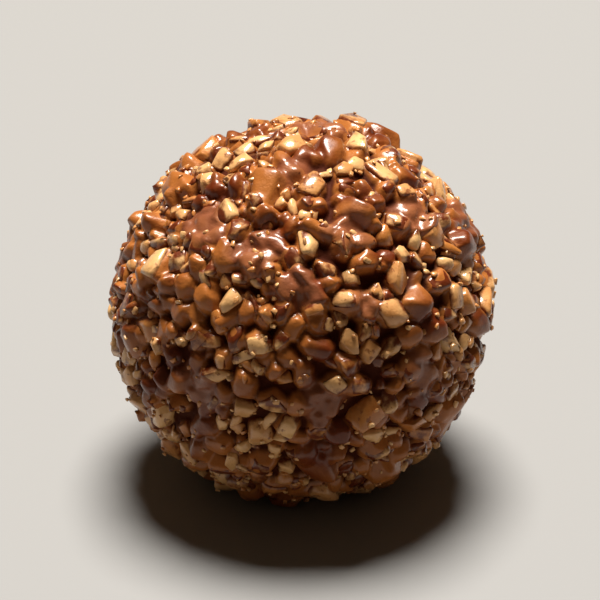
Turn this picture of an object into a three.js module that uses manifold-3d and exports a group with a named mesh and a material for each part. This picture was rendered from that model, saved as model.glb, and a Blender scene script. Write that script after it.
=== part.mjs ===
// A round chocolate truffle: a ball of ganache in milk chocolate, rolled in chopped roasted nuts.
//
// It is one solid. The nut pieces lie close together all over the ball and are fused to it: each one
// stands out as a lump with a flat, slanted top, and the chocolate lies in the gaps between them.
// The ball rests on a small flat spot, where it sat while the chocolate set.
//
// Millimetres, +Z up. The origin is the centre of the flat spot, on the surface that it rests on.
// X and Y are level.

import * as THREE from "three";
import { ConvexHull } from "three/addons/math/ConvexHull.js";
import { mergeVertices } from "three/addons/utils/BufferGeometryUtils.js";
import Module from "manifold-3d";

// ---- Driving dimensions ----

const DIAMETER = 28; // over the tips of the nut pieces
const NUTS_STAND_OUT = 1.2; // how far the tips stand out of the chocolate
const FLAT_SPOT_RADIUS = 3.4; // of the chocolate, at the foot
const UNEVENNESS = 0.02; // how far the ball is out of round, as a share of its radius
const LUMPINESS = 0.018; // how far its broad lumps rise and fall, as a share of its radius

const COARSEST_NUT = 2.8; // length of the first and largest piece of nut
const FINEST_NUT = 1.3; // length that the pieces fall towards
const FADE = 260; // the number of pieces over which most of that fall happens
const NUT_COUNT = 740;
const NUT_SPACING = 0.72; // least distance of two pieces, as a share of their mean length

const TOP_CORNERS = 5; // corners of the flat top of a piece
const TOP_REACH = 0.37; // how far those corners lie from its middle, as a share of its length
const STEEPEST_TOP = 0.38; // how much a top may slant, as the fall over a length
const CORNER_DROP = 0.08; // how uneven the top is, as a share of its length
const GAP_DEPTH = 0.45; // how far the gaps between the pieces go into the ball, at most

const SEED = 2024;

// ---- What follows from them ----

const BALL_RADIUS = DIAMETER / 2 - NUTS_STAND_OUT;
const CENTRE_HEIGHT = Math.sqrt(BALL_RADIUS ** 2 - FLAT_SPOT_RADIUS ** 2);
const UP = new THREE.Vector3(0, 0, 1);
const TURN = 2 * Math.PI;

const wasm = await Module();
wasm.setup();

// Numbers from 0 to 1 that are the same at every build.
function seededDraw(seed) {
  let state = seed;
  return () => {
    state = (Math.imul(state, 1664525) + 1013904223) >>> 0;
    return state / 2 ** 32;
  };
}

function between(low, high, draw) {
  return low + (high - low) * draw();
}

// ---- The ball ----

// How far the bare ball reaches in a direction. Three broad waves and three shorter ones make it as uneven
// as one rolled by hand.
function ballReach({ x, y, z }) {
  const broad =
    Math.sin(2.3 * x + 1.1 * y + 0.4) + Math.sin(2.9 * y - 1.7 * z + 2.1) + Math.sin(3.1 * z + 1.9 * x + 4);
  const lumps =
    Math.sin(8.7 * x + 3.9 * y - 2.8 * z + 1.2) +
    Math.sin(7.6 * y - 4.1 * x + 6.3 * z + 3) +
    Math.sin(7.8 * z + 5.6 * x - 6.9 * y + 5.1);
  return BALL_RADIUS * (1 + (UNEVENNESS * broad + LUMPINESS * lumps) / 3);
}

// ---- The chopped nuts ----

function randomDirection(draw) {
  const height = between(-1, 1, draw);
  const around = TURN * draw();
  const across = Math.sqrt(1 - height * height);
  return new THREE.Vector3(across * Math.cos(around), across * Math.sin(around), height);
}

// The places and sizes of the nut pieces. They are thrown at the ball one by one, the largest first,
// and each one sticks where it is clear of those already there. Widths and heights are shares of a length.
function scatterNuts(count) {
  const draw = seededDraw(SEED);
  const nuts = [];
  while (nuts.length < count) {
    const length = FINEST_NUT + (COARSEST_NUT - FINEST_NUT) * Math.exp(-nuts.length / FADE);
    const direction = randomDirection(draw);
    const isClear = nuts.every(
      (nut) => direction.angleTo(nut.direction) * BALL_RADIUS > (NUT_SPACING * (length + nut.length)) / 2,
    );
    if (!isClear) continue;
    nuts.push({
      direction,
      length,
      stretch: between(0.95, 1.2, draw),
      width: between(0.62, 0.9, draw),
      height: between(0.22, 0.46, draw),
      spin: TURN * draw(),
      slant: between(-STEEPEST_TOP, STEEPEST_TOP, draw),
    });
  }
  return nuts;
}

// The corners of the flat top of one piece, measured from the ball's centre.
function nutTop(nut, draw) {
  const middle = ballReach(nut.direction) + nut.height * nut.length;
  const turn = new THREE.Quaternion().setFromUnitVectors(UP, nut.direction);
  turn.multiply(new THREE.Quaternion().setFromAxisAngle(UP, nut.spin));
  return Array.from({ length: TOP_CORNERS }, (_, i) => {
    const angle = (TURN * (i + between(0.25, 0.75, draw))) / TOP_CORNERS;
    const reach = TOP_REACH * nut.length * between(0.75, 1.15, draw);
    const x = reach * nut.stretch * Math.cos(angle);
    const y = reach * nut.width * Math.sin(angle);
    const drop = nut.slant * x + CORNER_DROP * nut.length * draw();
    return new THREE.Vector3(x, y, middle - drop).applyQuaternion(turn);
  });
}

// The triangles between points that lie round a centre, as places in the list of points.
function triangulate(points) {
  const directions = points.map((point) => point.clone().normalize());
  const place = new Map(directions.map((direction, i) => [direction, i]));
  return new ConvexHull().setFromPoints(directions).faces.map(({ edge }) => {
    const corners = [edge, edge.next, edge.next.next];
    return corners.map((corner) => place.get(corner.head().point));
  });
}

// The lowest point of each gap, which is where it is furthest from the three pieces round it.
function findGaps(nuts, draw) {
  const middles = nuts.map((nut) => nut.direction);
  return triangulate(middles).map((corners) => {
    const direction = new THREE.Triangle(...corners.map((i) => middles[i])).getNormal(new THREE.Vector3());
    return direction.clone().multiplyScalar(ballReach(direction) - GAP_DEPTH * draw());
  });
}

// ---- The truffle ----

function toSolid(geometry) {
  const mesh = new wasm.Mesh({
    numProp: 3,
    vertProperties: geometry.attributes.position.array,
    triVerts: new Uint32Array(geometry.index.array),
  });
  return new wasm.Manifold(mesh);
}

function toGeometry(solid) {
  const mesh = solid.getMesh();
  const geometry = new THREE.BufferGeometry();
  geometry.setAttribute("position", new THREE.BufferAttribute(mesh.vertProperties, 3));
  geometry.setIndex(new THREE.BufferAttribute(mesh.triVerts, 1));
  return geometry;
}

// The ball with its coat of nuts, as one closed surface through the tops of the pieces and the gaps.
function makeCoatedBall() {
  const draw = seededDraw(SEED + 1);
  const nuts = scatterNuts(NUT_COUNT);
  const surface = nuts.flatMap((nut) => nutTop(nut, draw));
  surface.push(...findGaps(nuts, draw));
  const ball = new THREE.BufferGeometry().setFromPoints(surface);
  ball.setIndex(triangulate(surface).flat());
  return toSolid(ball);
}

// What lies under the surface that the truffle rests on, and is cut off its foot.
function makeTable() {
  const table = new THREE.BoxGeometry(2 * DIAMETER, 2 * DIAMETER, DIAMETER);
  table.deleteAttribute("normal");
  table.deleteAttribute("uv");
  table.translate(0, 0, -CENTRE_HEIGHT - DIAMETER / 2);
  return toSolid(mergeVertices(table));
}

// Milk chocolate over roasted nuts, with the satin shine of chocolate that has set well.
function nutChocolate() {
  return new THREE.MeshStandardMaterial({
    color: 0x7e5034,
    roughness: 0.45,
    metalness: 0,
    flatShading: true,
  });
}

function makeTruffle() {
  const truffle = new THREE.Mesh(toGeometry(makeCoatedBall().subtract(makeTable())), nutChocolate());
  truffle.name = "truffle";
  truffle.position.z = CENTRE_HEIGHT;
  return truffle;
}

const part = new THREE.Group();
part.add(makeTruffle());

export default part;
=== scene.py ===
"""A round chocolate truffle: a ball in milk chocolate, rolled in chopped roasted nuts.

The nut pieces lie where the solid has them, with smaller ones in the hollows between them. Each one is a
chip cut from a block. The chocolate is one film: it fills the gaps, climbs up the sides of the pieces, goes
right over some of them and pools in a few smooth patches.
"""

import math

import bmesh
import bpy
import numpy as np
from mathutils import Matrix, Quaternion, Vector


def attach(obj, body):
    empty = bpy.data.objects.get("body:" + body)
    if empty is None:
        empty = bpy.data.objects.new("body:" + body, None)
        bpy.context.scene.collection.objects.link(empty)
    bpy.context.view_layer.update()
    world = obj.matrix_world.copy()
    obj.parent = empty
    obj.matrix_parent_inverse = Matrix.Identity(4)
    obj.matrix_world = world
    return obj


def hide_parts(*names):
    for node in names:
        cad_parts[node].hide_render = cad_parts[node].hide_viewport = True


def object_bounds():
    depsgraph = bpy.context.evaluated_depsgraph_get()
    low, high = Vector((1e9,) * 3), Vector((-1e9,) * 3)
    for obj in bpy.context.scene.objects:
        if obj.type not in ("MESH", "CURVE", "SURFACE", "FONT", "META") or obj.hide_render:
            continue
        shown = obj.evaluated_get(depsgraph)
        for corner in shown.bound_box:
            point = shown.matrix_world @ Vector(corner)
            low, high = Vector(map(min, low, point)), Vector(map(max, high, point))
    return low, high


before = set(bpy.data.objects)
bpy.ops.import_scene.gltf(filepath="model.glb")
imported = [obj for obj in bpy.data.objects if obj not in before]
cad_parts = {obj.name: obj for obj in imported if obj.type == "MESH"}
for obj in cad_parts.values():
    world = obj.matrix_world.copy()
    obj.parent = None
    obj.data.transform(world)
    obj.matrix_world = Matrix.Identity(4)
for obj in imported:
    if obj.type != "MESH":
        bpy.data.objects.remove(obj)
solid_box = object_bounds()

MM = 0.001
TURN = 2 * math.pi
UP = Vector((0, 0, 1))
BLOCK = 2  # width of the block that a shape is made from

# ---- The solid's own sizes, and its rule for the places of the nut pieces ----

DIAMETER = 28 * MM  # over the tips of the nut pieces
NUTS_STAND_OUT = 1.2 * MM
FLAT_SPOT_RADIUS = 3.4 * MM
BALL_RADIUS = DIAMETER / 2 - NUTS_STAND_OUT
CENTRE_HEIGHT = math.sqrt(BALL_RADIUS**2 - FLAT_SPOT_RADIUS**2)

UNEVENNESS = 0.02
BROAD_WAVES = ((2.3, 1.1, 0), (0, 2.9, -1.7), (1.9, 0, 3.1))  # how fast each one runs along X, Y and Z
BROAD_STARTS = (0.4, 2.1, 4)
LUMPINESS = 0.018
LUMP_WAVES = ((8.7, 3.9, -2.8), (-4.1, 7.6, 6.3), (5.6, -6.9, 7.8))
LUMP_STARTS = (1.2, 3, 5.1)

COARSEST_NUT = 2.8 * MM
FINEST_NUT = 1.3 * MM
FADE = 260  # the number of pieces over which most of the fall in length happens
NUT_COUNT = 740
NUT_SPACING = 0.72  # least distance of two pieces, as a share of their mean length
STRETCH = (0.95, 1.2)  # of a piece along its length, at least and at most
WIDTH = (0.62, 0.9)  # as a share of its length
HEIGHT = (0.22, 0.46)  # of its top over the ball, as a share of its length
STEEPEST_TOP = 0.38  # the most that a top slants, as the fall over a length
SEED = 2024

# ---- How the nuts lie in the chocolate ----

NUT_FILL = 0.96  # size of a chip, as a share of the room that the solid gives its piece
SPACING = 0.75  # least distance of two pieces that the solid leaves out, as a share of their mean length
HIGHEST_BED = 0.55 * MM  # over the mean ball, of what a small piece or a sliver may lie on
SMALL_NUT_SLANT = 1.8 * STEEPEST_TOP
SIDEWAYS_LEAN = 0.4  # of a piece, either way, in radians

COATED_SHARE = 0.35  # of the pieces that the film goes right over
PATCHINESS = 0.35  # how much that share goes up and down over the ball
ROAST_PATCHINESS = 0.2  # how much darker the nuts are where there is more chocolate
RICH_WAVES = ((7.1, 4.4, -5.9), (-5.3, 7.7, 6.2))
RICH_STARTS = (0.6, 2.3)
COATING = (0.02 * MM, 0.05 * MM)  # thickness of the film on a coated piece
PROUD = (0.04, 0.3)  # how far the others stand out of it, as a share of their length
LEAST_SHOWN = 0.02 * MM  # of a piece. One that stands out of the film by less is left out
BARE_HEIGHT = 0.4 * MM  # over the film, where a nut is quite bare of chocolate
CRUMB_BARENESS = 0.7  # of a crumb, at least, because crumbs stick on last

# ---- The film of chocolate ----

GAP_LEVEL = -0.35 * MM  # of the chocolate between the nut pieces, against the bare ball
SKIRT_SLOPE = math.radians(66)  # of the chocolate that climbs up the side of a nut piece
COVER_RINGS = (  # how much each ring of planes over a nut piece leans, and how many it has
    (math.radians(20), 5),
    (math.radians(44), 8),
    (SKIRT_SLOPE, 10),
)
ROUNDING = 0.035 * MM  # of the film over the edges of a nut piece
FILLET = 0.06 * MM  # of the film in the gaps between the pieces
SHEER_FILM = 0.12 * MM  # thickness from which no nut shows through
FOOT_SKIN = 0.02 * MM  # of chocolate under the nut pieces, on the flat spot
COAT_CUTS = 127  # along each edge of the block that the film is shaped from

POOL_FILL = 0.5 * MM  # how much higher the chocolate stands in the gaps of a pool
POOL_OVER_NUTS = -0.01 * MM  # thickness of a pool over the tops of the nut pieces
POOL_FILLET = 0.26 * MM
POOL_EDGE = 1.2 * MM  # width of the edge over which a pool runs out
RAGGEDNESS = 0.35  # how much that edge goes in and out, as a share of the pool's radius
RAGGED_WAVES = ((21, 11, -9), (-13, 19, 15))


def seeded_draw(seed):
    """Numbers from 0 to 1, the same ones as in the solid's source."""
    state = seed

    def draw():
        nonlocal state
        state = (state * 1664525 + 1013904223) % 2**32
        return state / 2**32

    return draw


def between(low, high, draw):
    return low + (high - low) * draw()


def random_direction(draw):
    height = between(-1, 1, draw)
    around = TURN * draw()
    across = math.sqrt(1 - height * height)
    return Vector((across * math.cos(around), across * math.sin(around), height))


# ---- The ball ----


def waves(directions, speeds, starts=0):
    """The height of each wave in each direction. Its speeds are along X, Y and Z."""
    return np.sin(np.asarray(directions, float) @ np.transpose(speeds) + starts)


def ball_reach(directions):
    """How far the bare ball reaches in each direction, from its centre."""
    broad = waves(directions, BROAD_WAVES, BROAD_STARTS).mean(axis=-1)
    lumps = waves(directions, LUMP_WAVES, LUMP_STARTS).mean(axis=-1)
    return BALL_RADIUS * (1 + UNEVENNESS * broad + LUMPINESS * lumps)


def richness(directions):
    """Where the coat has more chocolate, up to 1, and where it has less, down to -1."""
    return waves(directions, RICH_WAVES, RICH_STARTS).prod(axis=-1)


# ---- The shapes of the nut pieces ----

CUT_TOLERANCE = 0.02  # corners of a shape that lie closer to a cut are on it
SHORTEST_EDGE = 0.22  # corners that lie closer to each other are merged


def cut_shape(draw, cuts, reach, worn):
    """The shape of one piece of chopped nut: a block with slices cut off at random and worn edges."""
    chip = bmesh.new()
    bmesh.ops.create_cube(chip, size=BLOCK)
    for _ in range(cuts):
        away = random_direction(draw)
        bmesh.ops.bisect_plane(
            chip, geom=chip.verts[:] + chip.edges[:] + chip.faces[:], dist=CUT_TOLERANCE,
            plane_co=away * between(*reach, draw), plane_no=away, clear_outer=True)
        bmesh.ops.holes_fill(chip, edges=[edge for edge in chip.edges if edge.is_boundary], sides=0)
    bmesh.ops.remove_doubles(chip, verts=chip.verts[:], dist=SHORTEST_EDGE)
    bmesh.ops.recalc_face_normals(chip, faces=chip.faces[:])
    corners = np.array([vertex.co for vertex in chip.verts])
    bmesh.ops.bevel(
        chip, geom=chip.edges[:], offset=worn, offset_type="OFFSET", segments=1, profile=0.5,
        affect="EDGES", material=-1, clamp_overlap=True)
    chip.verts.index_update()
    shape = {
        "corners": corners,
        "points": np.array([vertex.co for vertex in chip.verts]),
        "faces": [[vertex.index for vertex in face.verts] for face in chip.faces],
    }
    chip.free()
    return shape


def cut_shapes(count, seed, cuts, reach, worn):
    """A number of shapes. reach says how far from a block's middle the cuts go, at least and at most."""
    draw = seeded_draw(seed)
    return [cut_shape(draw, cuts, reach, worn) for _ in range(count)]


CHIP_SHAPES = cut_shapes(count=20, seed=SEED + 3, cuts=8, reach=(0.72, 1.0), worn=0.26)
SLIVER_SHAPES = cut_shapes(count=8, seed=SEED + 5, cuts=3, reach=(0.8, 1.1), worn=0.3)
CRUMB_SHAPES = cut_shapes(count=8, seed=SEED + 7, cuts=4, reach=(0.6, 0.95), worn=0.3)

# ---- The kinds of nut pieces ----


def falling_length(place, draw):
    """The length of a piece of the solid, by its place in the row: the largest come first."""
    return FINEST_NUT + (COARSEST_NUT - FINEST_NUT) * math.exp(-place / FADE)


def length_between(shortest, longest):
    """A rule for the length of a piece that doesn't depend on its place in the row."""
    return lambda place, draw: between(shortest, longest, draw)


# Each kind says how many pieces it has, the seed of their places, the rule for their lengths and their least
# distance. block is half the length, width and height of the block that a piece is cut from, as shares of
# the piece's length, and its stretch and width scale it. height is how far its top lies over what is under
# it, as a share of its length, and slant is how far the top falls over a length. highest and deepest_in_pool
# say where it may lie: how far what is under it stands out of the mean ball, and the share of a pool there.

CHOPPED = {
    "spacing": NUT_SPACING,
    "shapes": CHIP_SHAPES,
    "stretch": STRETCH,
    "width": WIDTH,
    "height": HEIGHT,
    "slant": (-STEEPEST_TOP, STEEPEST_TOP),
}
SOLID_NUTS = CHOPPED | {
    "count": NUT_COUNT,
    "seed": SEED,
    "length": falling_length,
    "block": (0.45 * NUT_FILL, 0.47 * NUT_FILL, 0.38 * NUT_FILL),
}
SMALL_NUTS = CHOPPED | {
    "count": 560,
    "seed": SEED + 2,
    "length": length_between(0.75 * MM, 1.4 * MM),
    "spacing": SPACING,
    "block": (0.45, 0.47, 0.36),
    "slant": (-SMALL_NUT_SLANT, SMALL_NUT_SLANT),
    "highest": HIGHEST_BED,
    "deepest_in_pool": 0.4,
}
SLIVERS = CHOPPED | {
    "count": 150,
    "seed": SEED + 4,
    "length": length_between(1.3 * MM, 2.3 * MM),
    "spacing": SPACING,
    "shapes": SLIVER_SHAPES,
    "block": (0.52, 0.2, 0.15),
    "stretch": (1, 1),
    "height": (0.14, 0.14),
    "highest": HIGHEST_BED,
    "deepest_in_pool": 0.7,
}
CRUMBS = CHOPPED | {
    "count": 700,
    "seed": SEED + 6,
    "length": length_between(0.18 * MM, 0.5 * MM),
    "spacing": SPACING,
    "shapes": CRUMB_SHAPES,
    "block": (0.5, 0.5, 0.35),
    "height": (0.35, 0.35),
    "highest": math.inf,
    "deepest_in_pool": math.inf,
}


def scatter(kind):
    """Throws pieces at the ball one by one. Each one sticks where it is clear of those already there."""
    draw = seeded_draw(kind["seed"])
    directions = np.zeros((kind["count"], 3))
    lengths = np.zeros(kind["count"])
    nuts = []
    while len(nuts) < kind["count"]:
        stuck = len(nuts)
        length = kind["length"](stuck, draw)
        direction = random_direction(draw)
        apart = np.arccos(np.clip(directions[:stuck] @ np.array(direction), -1, 1)) * BALL_RADIUS
        if (apart <= kind["spacing"] * (length + lengths[:stuck]) / 2).any():
            continue
        directions[stuck] = direction
        lengths[stuck] = length
        nuts.append({
            "direction": direction,
            "length": length,
            "shape": kind["shapes"][stuck % len(kind["shapes"])],
            "stretch": between(*kind["stretch"], draw),
            "width": between(*kind["width"], draw),
            "height": between(*kind["height"], draw),
            "spin": TURN * draw(),
            "slant": between(*kind["slant"], draw),
        })
    return nuts


# ---- Where the chocolate pools ----

VIEW_AZIMUTH = math.radians(40)
VIEW_ELEVATION = math.radians(29)


def seen_from(azimuth, elevation):
    """The direction that a spot lies in: azimuth 0 is -Y, 90 degrees is +X."""
    level = math.cos(elevation)
    return Vector((math.sin(azimuth) * level, -math.cos(azimuth) * level, math.sin(elevation)))


TOWARDS_VIEW = seen_from(VIEW_AZIMUTH, VIEW_ELEVATION)
VIEW_RIGHT = UP.cross(TOWARDS_VIEW).normalized()
VIEW_UP = TOWARDS_VIEW.cross(VIEW_RIGHT)


def facing(right, up):
    """The direction of a spot on the front, by its place in the round outline, which is 1 in radius."""
    return VIEW_RIGHT * right + VIEW_UP * up + TOWARDS_VIEW * math.sqrt(1 - right**2 - up**2)


POOLS = [  # the middle of a pool and its radius
    (facing(-0.51, 0.46), 1.9 * MM),
    (facing(-0.24, 0.30), 1.6 * MM),
    (facing(0.25, 0.41), 1.4 * MM),
    (facing(0.60, 0.48), 1.5 * MM),
    (facing(-0.02, 0.12), 1.4 * MM),
    (facing(0.33, 0.03), 1.1 * MM),
    (facing(-0.05, 0.73), 1.2 * MM),
    (facing(0.12, -0.50), 1.6 * MM),
    (facing(-0.55, -0.42), 1.5 * MM),
    (facing(0.62, -0.30), 1.2 * MM),
    (Vector((-0.7, 0.5, 0.4)).normalized(), 2.4 * MM),
    (Vector((0.2, 0.9, 0.3)).normalized(), 2.0 * MM),
    (Vector((-0.8, -0.5, 0.2)).normalized(), 2.1 * MM),
    (Vector((0.6, 0.6, 0.5)).normalized(), 1.6 * MM),
    (Vector((-0.5, 0.7, -0.3)).normalized(), 1.9 * MM),
    (Vector((-0.1, 0.3, 0.95)).normalized(), 1.6 * MM),
    (Vector((0.1, 0.1, -1)).normalized(), 4.5 * MM),  # underneath, round the flat spot
]


def pool_share(directions):
    """1 in the middle of a pool, 0 outside, with a ragged edge."""
    share = np.zeros(len(directions))
    ragged = 1 + RAGGEDNESS * waves(directions, RAGGED_WAVES).prod(axis=-1)
    for spot, radius in POOLS:
        away = np.arccos(np.clip(directions @ np.array(spot), -1, 1)) * BALL_RADIUS
        fade = np.clip((radius * ragged + POOL_EDGE / 2 - away) / POOL_EDGE, 0, 1)
        share = np.maximum(share, fade * fade * (3 - 2 * fade))
    return share


# ---- Laying the nuts and the film ----


def cover_planes(direction, corners):
    """The planes that touch a chip from above and from its sides, none steeper than the film can stand."""
    turn = np.array(UP.rotation_difference(Vector(direction)).to_matrix())
    normals = [turn @ (0, 0, 1)]
    for lean, count in COVER_RINGS:
        for i in range(count):
            around = TURN * (i + lean) / count  # the lean also turns each ring against the others
            normals.append(turn @ (
                math.sin(lean) * math.cos(around), math.sin(lean) * math.sin(around), math.cos(lean)))
    normals = np.array(normals)
    return normals, (normals @ corners.T).max(axis=1)


def film_over(directions, chips):
    """How far the film reaches in each direction, how far the nut pieces do, and the share of a pool.

    The film is a smooth maximum of the chocolate in the gaps and the covers of the pieces. It is worked out
    with a small fillet for the thin film, and with a large one for the pools.
    """
    pool = pool_share(directions)
    bare = ball_reach(directions) + GAP_LEVEL
    thin = np.exp((bare - BALL_RADIUS) / FILLET)
    thick = np.exp((bare + POOL_FILL - BALL_RADIUS) / POOL_FILLET)
    for chip in chips:
        near = np.flatnonzero(directions @ chip["direction"] > chip["near"])
        if not len(near):
            continue
        normals, offsets = chip["cover"]
        touch = offsets / (directions[near] @ normals.T)
        lowest = touch.min(axis=1, keepdims=True)
        top = lowest[:, 0] - ROUNDING * np.log(np.exp((lowest - touch) / ROUNDING).sum(axis=1))
        bare[near] = np.maximum(bare[near], top)
        thin[near] += np.exp((top + chip["lift"] - BALL_RADIUS) / FILLET)
        thick[near] += np.exp((top + POOL_OVER_NUTS - BALL_RADIUS) / POOL_FILLET)
    film = FILLET * np.log(thin) * (1 - pool) + POOL_FILLET * np.log(thick) * pool
    return BALL_RADIUS + film, bare, pool


def lay_chip(nut, block, bed, draw):
    """Lays a piece on its bed, which is how far the ball or what lies on it reaches there."""
    turn = UP.rotation_difference(nut["direction"])
    turn = turn @ Quaternion(UP, nut["spin"])
    turn = turn @ Quaternion((0, 1, 0), math.atan(nut["slant"]))
    turn = turn @ Quaternion((1, 0, 0), between(-SIDEWAYS_LEAN, SIDEWAYS_LEAN, draw))
    size = np.array(block) * (nut["stretch"], nut["width"], 1) * nut["length"]
    sized = np.array(turn.to_matrix()) * size
    direction = np.array(nut["direction"])
    centre = direction * (bed + nut["height"] * nut["length"] - size[2])
    rich = float(richness(direction))
    coated = draw() < COATED_SHARE + PATCHINESS * rich
    return {
        "direction": direction,
        "near": math.cos(nut["length"] / BALL_RADIUS),
        "cover": cover_planes(direction, nut["shape"]["corners"] @ sized.T + centre),
        "lift": between(*COATING, draw) if coated else -between(*PROUD, draw) * nut["length"],
        "roast": draw() + ROAST_PATCHINESS * rich,
        "points": nut["shape"]["points"] @ sized.T + centre,
        "faces": nut["shape"]["faces"],
    }


def lay_on_ball(kind, draw):
    """Lays a kind of pieces on the bare ball."""
    nuts = scatter(kind)
    return [lay_chip(nut, kind["block"], float(ball_reach(nut["direction"])), draw) for nut in nuts]


def lay_on_film(kind, chips, draw):
    """Lays a kind of pieces on the film and the chips in it, where they are low enough and clear of pools."""
    nuts = scatter(kind)
    film, bare, pool = film_over(np.array([nut["direction"] for nut in nuts]), chips)
    beds = np.maximum(film, bare)
    fits = (beds <= BALL_RADIUS + kind["highest"]) & (pool <= kind["deepest_in_pool"])
    return [lay_chip(nuts[i], kind["block"], beds[i], draw) for i in np.flatnonzero(fits)]


# ---- The meshes ----


def make_piece(mesh, points, attributes, foot=0.0):
    """An object of a mesh, with its points moved to these places, which are given round the ball's centre.

    Those that would lie under the foot are pressed up to it.
    """
    lifted = points + np.array([0, 0, CENTRE_HEIGHT])
    lifted[:, 2] = np.maximum(lifted[:, 2], foot)
    mesh.vertices.foreach_set("co", lifted.ravel())
    for label, values in attributes.items():
        mesh.attributes.new(label, "FLOAT", "POINT").data.foreach_set("value", values.astype(np.float32))
    mesh.shade_smooth()
    mesh.update()
    piece = bpy.data.objects.new(mesh.name, mesh)
    bpy.context.scene.collection.objects.link(piece)
    return piece


def make_chips(name, laid, chips, least_bare=0.0):
    """One mesh of the laid chips that show over the film on all chips. Each point knows how bare it is."""
    points = np.vstack([chip["points"] for chip in laid])
    reach = np.linalg.norm(points, axis=1)
    film, _, _ = film_over(points / reach[:, None], chips)
    clear = reach - film
    kept, faces, roasts = [], [], []
    start = count = 0
    for chip in laid:
        end = start + len(chip["points"])
        if clear[start:end].max() > LEAST_SHOWN:
            faces += [[corner + count for corner in face] for face in chip["faces"]]
            kept.append(np.arange(start, end))
            roasts.append(np.full(end - start, chip["roast"]))
            count += end - start
        start = end
    kept = np.concatenate(kept)
    mesh = bpy.data.meshes.new(name)
    mesh.from_pydata(points[kept], [], faces)
    return make_piece(mesh, points[kept], {
        "bare": np.clip(clear[kept] / BARE_HEIGHT, least_bare, 1),
        "roast": np.concatenate(roasts),
    }, foot=FOOT_SKIN)


def make_coat(chips):
    """The chocolate: a fine block, blown up to a ball and brought to the reach of the film."""
    block = bmesh.new()
    bmesh.ops.create_cube(block, size=BLOCK)
    bmesh.ops.subdivide_edges(block, edges=block.edges[:], cuts=COAT_CUTS, use_grid_fill=True)
    spread = np.tan(np.array([vertex.co for vertex in block.verts]) * TURN / 8)  # evens out the squares
    mesh = bpy.data.meshes.new("chocolate_coat")
    block.to_mesh(mesh)
    block.free()
    directions = spread / np.linalg.norm(spread, axis=1, keepdims=True)
    film, bare, pool = film_over(directions, chips)
    return make_piece(mesh, directions * film[:, None], {
        "nut_under": np.clip(1 - (film - bare) / SHEER_FILM, 0, 1),
        "pool": pool,
        "rise": (film - ball_reach(directions)) / MM,
        "richness": richness(directions),
    })


draw = seeded_draw(SEED + 10)
chips = lay_on_ball(SOLID_NUTS, draw)
chips += lay_on_film(SMALL_NUTS, chips, draw)
slivers = lay_on_film(SLIVERS, chips, draw)
crumbs = lay_on_film(CRUMBS, chips + slivers, draw)

coat = make_coat(chips + slivers)
nut_chips = make_chips("nut_chips", chips, chips + slivers)
nut_slivers = make_chips("nut_slivers", slivers, chips + slivers)
nut_crumbs = make_chips("nut_crumbs", crumbs, chips + slivers, least_bare=CRUMB_BARENESS)

# ---- Shader nodes ----


def add_node(tree, kind, values=None, **settings):
    """A node of a tree. values gives its inputs by name or place: a number, a colour or a socket to link."""
    node = tree.nodes.new(kind)
    for setting, value in settings.items():
        setattr(node, setting, value)
    for key, value in (values or {}).items():
        if isinstance(value, bpy.types.NodeSocket):
            tree.links.new(value, node.inputs[key])
        else:
            node.inputs[key].default_value = value
    return node


def use_group(tree, group, values):
    return add_node(tree, "ShaderNodeGroup", values, node_tree=group).outputs


def new_group(name, inputs, outputs):
    """An empty shader group with its sockets. inputs and outputs are pairs of a name and a kind."""
    tree = bpy.data.node_groups.new(name, "ShaderNodeTree")
    for label, kind in inputs:
        tree.interface.new_socket(label, in_out="INPUT", socket_type=kind)
    for label, kind in outputs:
        tree.interface.new_socket(label, in_out="OUTPUT", socket_type=kind)
    return tree, tree.nodes.new("NodeGroupInput").outputs, tree.nodes.new("NodeGroupOutput")


def math_node(tree, operation, *values):
    return add_node(tree, "ShaderNodeMath", dict(enumerate(values)), operation=operation).outputs[0]


def attribute(tree, name):
    return add_node(tree, "ShaderNodeAttribute", attribute_name=name).outputs["Fac"]


def grain(tree, patches, detail=3.0, offset=0.0):
    """Noise in the object's own space, from 0 to 1. An offset sets one pattern apart from another."""
    place = add_node(tree, "ShaderNodeTexCoord").outputs["Object"]
    if offset:
        move = {"Vector": place, "Location": (offset, offset, offset)}
        place = add_node(tree, "ShaderNodeMapping", move).outputs["Vector"]
    return add_node(tree, "ShaderNodeTexNoise", {
        "Vector": place, "Scale": patches, "Detail": detail, "Roughness": NOISE_ROUGHNESS}).outputs["Fac"]


def unevenness(tree, amount, patches, **how):
    """Noise round 0, up to half an amount either way."""
    return math_node(tree, "MULTIPLY_ADD", grain(tree, patches, **how), amount, -amount / 2)


def ramp(tree, value, span, low=0.0, high=1.0):
    """Goes smoothly from low to high while a value crosses a span."""
    return add_node(tree, "ShaderNodeMapRange", {
        "Value": value, "From Min": span[0], "From Max": span[1], "To Min": low, "To Max": high,
    }, interpolation_type="SMOOTHSTEP").outputs["Result"]


def mix(tree, share, first, second):
    """Two colours mixed. A mix node has its colours in sockets 6 and 7, and the result in 2."""
    return add_node(tree, "ShaderNodeMix", {0: share, 6: first, 7: second}, data_type="RGBA").outputs[2]


def new_material(name):
    material = bpy.data.materials.new(name)
    material.use_nodes = True
    tree = material.node_tree
    return material, tree, tree.nodes["Principled BSDF"]


def screen_light(level):
    """The share of full light that a screen gives for a level from 0 to 255."""
    share = level / 255
    return ((share + 0.055) / 1.055) ** 2.4 if share > 0.04 else share / 12.92


def screen_colour(red, green, blue):
    """A colour as a shader reads it, from its levels on a screen."""
    return (screen_light(red), screen_light(green), screen_light(blue), 1)


# ---- The finish of the chocolate and the nuts ----

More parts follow.
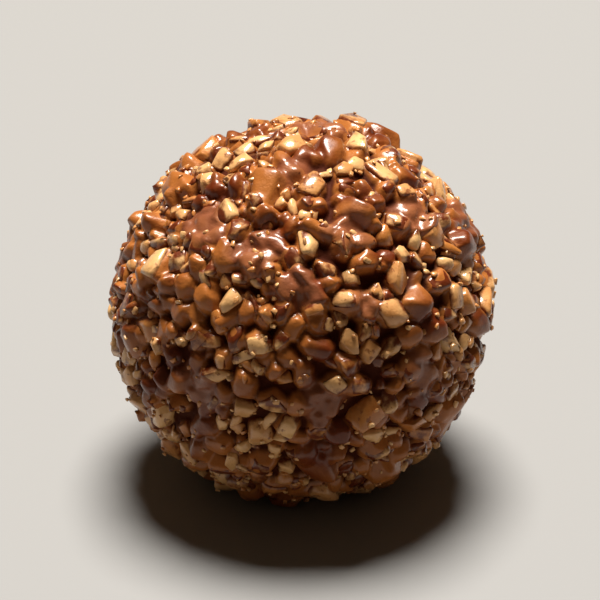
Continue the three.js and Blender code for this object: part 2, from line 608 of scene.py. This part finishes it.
CHOCOLATE = screen_colour(94, 34, 8)
CHOCOLATE_GAP_SHADE = screen_colour(60, 15, 2)  # painted shade down in the gaps, with thicker chocolate there too
CHOCOLATE_THIN = screen_colour(160, 94, 41)  # where a nut shows through
CHOCOLATE_POOL = screen_colour(128, 74, 47)
NUT_PALE = screen_colour(216, 168, 110)
NUT_DEEP = screen_colour(174, 106, 46)
NUT_SKIN = screen_colour(114, 55, 24)
WARM_GLOSS = (1, 0.62, 0.38, 1)  # of the broad shine under the glaze

# How many patches each pattern has in a metre.
ROAST_PATCHES = 900
SKIN_FLECKS = 1500
SMEARS = 1100
BLOTCHES = 700
DULL_PATCHES = 1300
COARSE_RELIEF = 2600
FINE_RELIEF = 9000
NOISE_ROUGHNESS = 0.55  # of all patterns

# The nuts.
ROAST_UNEVENNESS = 0.9
ROAST_SPAN = (-0.1, 1.1)  # from a pale nut to a deeply roasted one
FLECK_SPAN = (0.6, 0.68)  # of the pattern, from no skin to skin
FLECK_STRENGTH = 0.75
SMEAR_UNEVENNESS = 1.6
SMEAR_SPAN = (-0.22, 0.28)  # of bareness, from a smear to clean nut
SMEAR_AMOUNT = 0.4
NUT_ROUGHNESS = (0.34, 0.52)  # of its glossy and its dull patches
NUT_SHINE = 0.42
NUT_GLAZE = 0.7
NUT_GLAZE_ROUGHNESS = 0.14

# The chocolate. Heights are over the bare ball, in millimetres.
BLOTCHINESS = 0.8
RICH_STRENGTH = 0.5  # how much less the nuts show through where there is more chocolate
THIN_SPAN = (0.1, 0.9)  # from a film that hides the nut to one that shows it
GAP_SPAN = (-0.25, 0.25)  # heights, from deep in a gap to out of it, for the painted shade and the dullness of the gaps
POOL_STRENGTH = 0.8
CHOCOLATE_ROUGHNESS = (0.34, 0.5)
GAP_ROUGHNESS = 0.8
CHOCOLATE_SHINE = 0.26
GLAZE_SPAN = (-0.15, 0.2)  # heights, from no glaze to all of it
CHOCOLATE_GLAZE = 0.5
CHOCOLATE_GLAZE_ROUGHNESS = 0.17

# The fine relief of both.
DULL_SPAN = (0.35, 0.65)  # of the pattern, from glossy to dull
FINE_SHARE = 0.35  # of the fine relief against the coarse one
RELIEF_DEPTH = 0.05 * MM


def make_nut_colour():
    """Roasted nut: paler and deeper patches and flecks of brown skin."""
    tree, given, out = new_group(
        "nut_colour",
        [("Pale", "NodeSocketColor"), ("Deep", "NodeSocketColor"), ("Skin", "NodeSocketColor"),
         ("Roast", "NodeSocketFloat")],
        [("Color", "NodeSocketColor")])
    roast = math_node(tree, "ADD", given["Roast"], unevenness(tree, ROAST_UNEVENNESS, ROAST_PATCHES))
    color = mix(tree, ramp(tree, roast, ROAST_SPAN), given["Pale"], given["Deep"])
    flecks = ramp(tree, grain(tree, SKIN_FLECKS, offset=0.3), FLECK_SPAN)
    color = mix(tree, math_node(tree, "MULTIPLY", flecks, FLECK_STRENGTH), color, given["Skin"])
    tree.links.new(color, out.inputs["Color"])
    return tree


def make_chocolate_smear():
    """Chocolate left on a nut piece: all of it near the film, and thin smears further up."""
    tree, given, out = new_group(
        "chocolate_smear",
        [("Nut", "NodeSocketColor"), ("Chocolate", "NodeSocketColor"), ("Bare", "NodeSocketFloat"),
         ("Amount", "NodeSocketFloat")],
        [("Color", "NodeSocketColor")])
    smears = unevenness(tree, SMEAR_UNEVENNESS, SMEARS, detail=4.0, offset=0.7)
    bare = math_node(tree, "SUBTRACT", math_node(tree, "SUBTRACT", given["Bare"], smears), given["Amount"])
    smear = ramp(tree, bare, SMEAR_SPAN, 1.0, 0.0)
    tree.links.new(mix(tree, smear, given["Nut"], given["Chocolate"]), out.inputs["Color"])
    return tree


def make_set_surface():
    """The fine unevenness of a set chocolate surface with nut dust in it, and its glossy and dull patches."""
    tree, given, out = new_group(
        "set_surface", [("Glossy", "NodeSocketFloat"), ("Dull", "NodeSocketFloat")],
        [("Height", "NodeSocketFloat"), ("Roughness", "NodeSocketFloat")])
    coarse = grain(tree, COARSE_RELIEF, detail=2.0)
    fine = grain(tree, FINE_RELIEF, detail=2.0, offset=0.5)
    height = math_node(tree, "MULTIPLY_ADD", fine, FINE_SHARE, coarse)
    roughness = ramp(tree, grain(tree, DULL_PATCHES, offset=0.9), DULL_SPAN, given["Glossy"], given["Dull"])
    tree.links.new(height, out.inputs["Height"])
    tree.links.new(roughness, out.inputs["Roughness"])
    return tree


NUT_COLOUR = make_nut_colour()
CHOCOLATE_SMEAR = make_chocolate_smear()
SET_SURFACE = make_set_surface()


def use_set_surface(tree, roughness):
    return use_group(tree, SET_SURFACE, {"Glossy": roughness[0], "Dull": roughness[1]})


def finish_surface(tree, shader, color, roughness, height):
    """Gives a shader what changes over the surface."""
    tree.links.new(color, shader.inputs["Base Color"])
    tree.links.new(roughness, shader.inputs["Roughness"])
    bump = add_node(tree, "ShaderNodeBump", {"Height": height, "Distance": RELIEF_DEPTH})
    tree.links.new(bump.outputs["Normal"], shader.inputs["Normal"])


def make_milk_chocolate():
    """Thin over the nuts, darker and dull in the gaps from painted shade and thicker chocolate, paler in the
    pools, with a glaze on what stands up.
    """
    material, tree, shader = new_material("milk_chocolate")
    surface = use_set_surface(tree, CHOCOLATE_ROUGHNESS)
    rise = attribute(tree, "rise")
    rich = math_node(tree, "MULTIPLY", attribute(tree, "richness"), RICH_STRENGTH)
    thin = math_node(tree, "ADD", attribute(tree, "nut_under"), unevenness(tree, BLOTCHINESS, BLOTCHES))
    thin = ramp(tree, math_node(tree, "SUBTRACT", thin, rich), THIN_SPAN)
    # gap is 1 deep in a gap and 0 out of it: it drives the painted shade there and the dull roughness
    gap = ramp(tree, rise, GAP_SPAN, 1.0, 0.0)
    pool = math_node(tree, "MULTIPLY", attribute(tree, "pool"), POOL_STRENGTH)
    color = mix(tree, thin, CHOCOLATE, CHOCOLATE_THIN)
    # painted shade: the colour darkens down in the gaps, partly for thicker chocolate and partly for the
    # shade there
    color = mix(tree, gap, color, CHOCOLATE_GAP_SHADE)
    color = mix(tree, pool, color, CHOCOLATE_POOL)
    gap_roughness = math_node(tree, "MULTIPLY", gap, GAP_ROUGHNESS)
    roughness = math_node(tree, "MAXIMUM", surface["Roughness"], gap_roughness)
    finish_surface(tree, shader, color, roughness, surface["Height"])
    tree.links.new(ramp(tree, rise, GLAZE_SPAN, 0.0, CHOCOLATE_GLAZE), shader.inputs["Coat Weight"])
    shader.inputs["Specular IOR Level"].default_value = CHOCOLATE_SHINE
    shader.inputs["Specular Tint"].default_value = WARM_GLOSS
    shader.inputs["Coat Roughness"].default_value = CHOCOLATE_GLAZE_ROUGHNESS
    return material


def make_roasted_nut():
    """Nut with smears of chocolate and a glaze."""
    material, tree, shader = new_material("roasted_nut")
    surface = use_set_surface(tree, NUT_ROUGHNESS)
    nut = use_group(tree, NUT_COLOUR, {
        "Pale": NUT_PALE, "Deep": NUT_DEEP, "Skin": NUT_SKIN, "Roast": attribute(tree, "roast")})
    smeared = use_group(tree, CHOCOLATE_SMEAR, {
        "Nut": nut["Color"], "Chocolate": CHOCOLATE, "Bare": attribute(tree, "bare"), "Amount": SMEAR_AMOUNT})
    finish_surface(tree, shader, smeared["Color"], surface["Roughness"], surface["Height"])
    shader.inputs["Specular IOR Level"].default_value = NUT_SHINE
    shader.inputs["Specular Tint"].default_value = WARM_GLOSS
    shader.inputs["Coat Weight"].default_value = NUT_GLAZE
    shader.inputs["Coat Roughness"].default_value = NUT_GLAZE_ROUGHNESS
    return material


coat.data.materials.append(make_milk_chocolate())
roasted_nut = make_roasted_nut()
for piece in (nut_chips, nut_slivers, nut_crumbs):
    piece.data.materials.append(roasted_nut)

for piece in (coat, nut_chips, nut_slivers, nut_crumbs):
    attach(piece, "root")
    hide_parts("truffle")

# ---- Stage ----

MIDDLE = Vector((0, 0, (solid_box[0][2] + solid_box[1][2]) / 2))
FLOOR_WIDTH = 2
FLOOR_COLOUR = (0.242, 0.234, 0.221, 1)
FLOOR_ROUGHNESS = 0.6
KEY_COLOUR = (1, 0.98, 0.95)
FRONT_COLOUR = (1, 0.8, 0.6)
ROOM_COLOUR = (1, 0.74, 0.5, 1)
ROOM_LIGHT = 0.07
CAMERA_DISTANCE = 0.7
LENS = 594  # in millimetres, as is the width of the sensor
SENSOR_WIDTH = 36
NEAREST_SEEN = 0.05


def make_pale_floor():
    material, _, shader = new_material("pale_floor")
    shader.inputs["Base Color"].default_value = FLOOR_COLOUR
    shader.inputs["Roughness"].default_value = FLOOR_ROUGHNESS
    return material


def add_light(name, azimuth, elevation, distance, size, power, color):
    """A round lamp that shines at the middle of the truffle."""
    data = bpy.data.lights.new(name, "AREA")
    data.shape = "DISK"
    data.size = size
    data.energy = power
    data.color = color
    light = bpy.data.objects.new(name, data)
    away = seen_from(math.radians(azimuth), math.radians(elevation))
    light.location = MIDDLE + away * distance
    light.rotation_euler = away.to_track_quat("Z", "Y").to_euler()
    bpy.context.scene.collection.objects.link(light)


bpy.ops.mesh.primitive_plane_add(size=FLOOR_WIDTH)
floor = bpy.context.object
floor.name = "floor"
floor.data.materials.append(make_pale_floor())

add_light("key", azimuth=218, elevation=73, distance=0.6, size=0.28, power=10.3, color=KEY_COLOUR)
add_light("front", azimuth=10, elevation=35, distance=0.8, size=0.3, power=0.03, color=FRONT_COLOUR)

world = bpy.data.worlds.new("studio")
world.use_nodes = True
world.node_tree.nodes["Background"].inputs["Color"].default_value = ROOM_COLOUR
world.node_tree.nodes["Background"].inputs["Strength"].default_value = ROOM_LIGHT
bpy.context.scene.world = world
bpy.context.scene.view_settings.view_transform = "Standard"

camera_data = bpy.data.cameras.new("camera")
camera_data.sensor_width = SENSOR_WIDTH
camera_data.lens = LENS
camera_data.clip_start = NEAREST_SEEN
camera = bpy.data.objects.new("camera", camera_data)
camera.location = MIDDLE + TOWARDS_VIEW * CAMERA_DISTANCE
camera.rotation_euler = TOWARDS_VIEW.to_track_quat("Z", "Y").to_euler()
bpy.context.scene.collection.objects.link(camera)
bpy.context.scene.camera = camera
